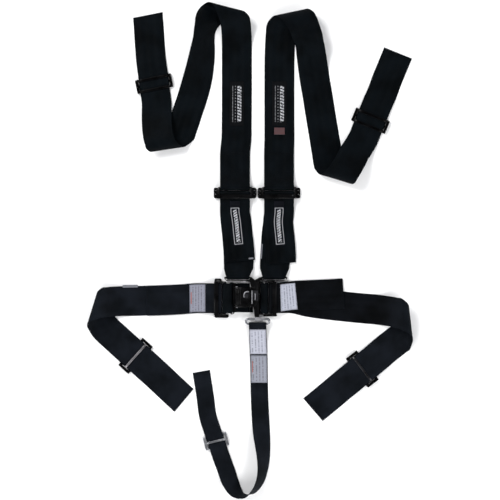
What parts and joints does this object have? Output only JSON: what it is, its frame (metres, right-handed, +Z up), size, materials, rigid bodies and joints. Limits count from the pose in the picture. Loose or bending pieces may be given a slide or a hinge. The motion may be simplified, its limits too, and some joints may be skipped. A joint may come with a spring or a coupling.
{
  "type": "racing harness",
  "caption": "Latch-and-link racing harness laid out flat: two shoulder belts, two lap belts and a crotch belt of black webbing with tilt-lock adjusters and three-bar slides.",
  "frame": {"origin": "on the floor under the middle of the link's post, where all the belts meet", "axes": "+Y towards the shoulder belts' ends, +X towards the lap belt on the link, +Z up from the floor the harness lies on"},
  "size_m": [0.8292, 1.2613, 0.0567],
  "materials": {
    "webbing": "woven polyester, matt",
    "hardware": "black, satin",
    "chrome": "bright plate",
    "label": "coated label cloth",
    "patch": "printed label cloth"
  },
  "bodies": {
    "link": {"link_plate": "hardware", "link_loop": "webbing", "lr_adjuster": "hardware", "lr_lock_bar": "hardware", "lr_webbing": "webbing", "lr_label": "label"},
    "latch": {"latch_base": "hardware", "latch_pin": "chrome", "latch_loop": "webbing", "latch_pad": "webbing", "ll_adjuster": "hardware", "ll_lock_bar": "hardware", "ll_webbing": "webbing", "ll_label": "label", "ll_edge_tag": "label"},
    "lever": {"lever": "hardware", "lever_hook": "chrome"},
    "shoulder_left": {"sl_tang": "hardware", "sl_lower_webbing": "webbing", "sl_adjuster": "hardware", "sl_lock_bar": "hardware", "sl_upper_webbing": "webbing", "sl_release_tab": "webbing", "sl_tab_label": "label", "sl_patch": "patch"},
    "shoulder_right": {"sr_tang": "hardware", "sr_lower_webbing": "webbing", "sr_adjuster": "hardware", "sr_lock_bar": "hardware", "sr_upper_webbing": "webbing", "sr_release_tab": "webbing", "sr_tab_label": "label", "sr_patch": "patch", "sr_small_patch": "label", "sr_edge_tag": "label"},
    "crotch": {"crotch_tongue": "hardware", "crotch_ring": "chrome", "crotch_webbing": "webbing", "crotch_label_upper": "label", "crotch_label_lower": "label"},
    "slide_shoulder_left": {"sl_slide": "hardware"},
    "slide_shoulder_right": {"sr_slide": "hardware"},
    "slide_lap_left": {"ll_slide": "hardware"},
    "slide_lap_right": {"lr_slide": "hardware"},
    "slide_crotch": {"cr_slide": "chrome"}
  },
  "joints": [
    {"name": "latch_release", "type": "slide", "parent": "link", "child": "latch", "axis": [-1, 0, 0], "range_m": [0, 0.04]},
    {"name": "lever_open", "type": "hinge", "parent": "latch", "child": "lever", "pos_m": [-0.045, -0.005, 0.0205], "axis": [0, -1, 0], "range_deg": [0, 100]},
    {"name": "shoulder_left_swing", "type": "hinge", "parent": "link", "child": "shoulder_left", "pos_m": [0, 0, 0.00735], "axis": [0, 0, 1], "range_deg": [0, 1.5]},
    {"name": "shoulder_right_swing", "type": "hinge", "parent": "link", "child": "shoulder_right", "pos_m": [0, 0, 0.00455], "axis": [0, 0, 1], "range_deg": [-1.5, 0]},
    {"name": "crotch_swing", "type": "hinge", "parent": "link", "child": "crotch", "pos_m": [0, 0, 0.01015], "axis": [0, 0, 1], "range_deg": [0, 4]},
    {"name": "shoulder_left_slide", "type": "slide", "parent": "shoulder_left", "child": "slide_shoulder_left", "axis": [-0.1305, 0.9914, 0], "range_m": [-0.022, 0.022]},
    {"name": "shoulder_right_slide", "type": "slide", "parent": "shoulder_right", "child": "slide_shoulder_right", "axis": [0.3778, 0.9259, 0], "range_m": [-0.022, 0.022]},
    {"name": "lap_left_slide", "type": "slide", "parent": "latch", "child": "slide_lap_left", "axis": [0.7431, -0.6691, 0], "range_m": [-0.022, 0.022]},
    {"name": "lap_right_slide", "type": "slide", "parent": "link", "child": "slide_lap_right", "axis": [-0.7716, -0.6361, 0], "range_m": [-0.022, 0.022]},
    {"name": "crotch_slide", "type": "slide", "parent": "crotch", "child": "slide_crotch", "axis": [-0.3223, 0.9466, 0], "range_m": [-0.022, 0.022]}
  ],
  "couplings": [
    {"joint": "lever_open", "follows": "latch_release", "rad_per_m": 43.6}
  ]
}
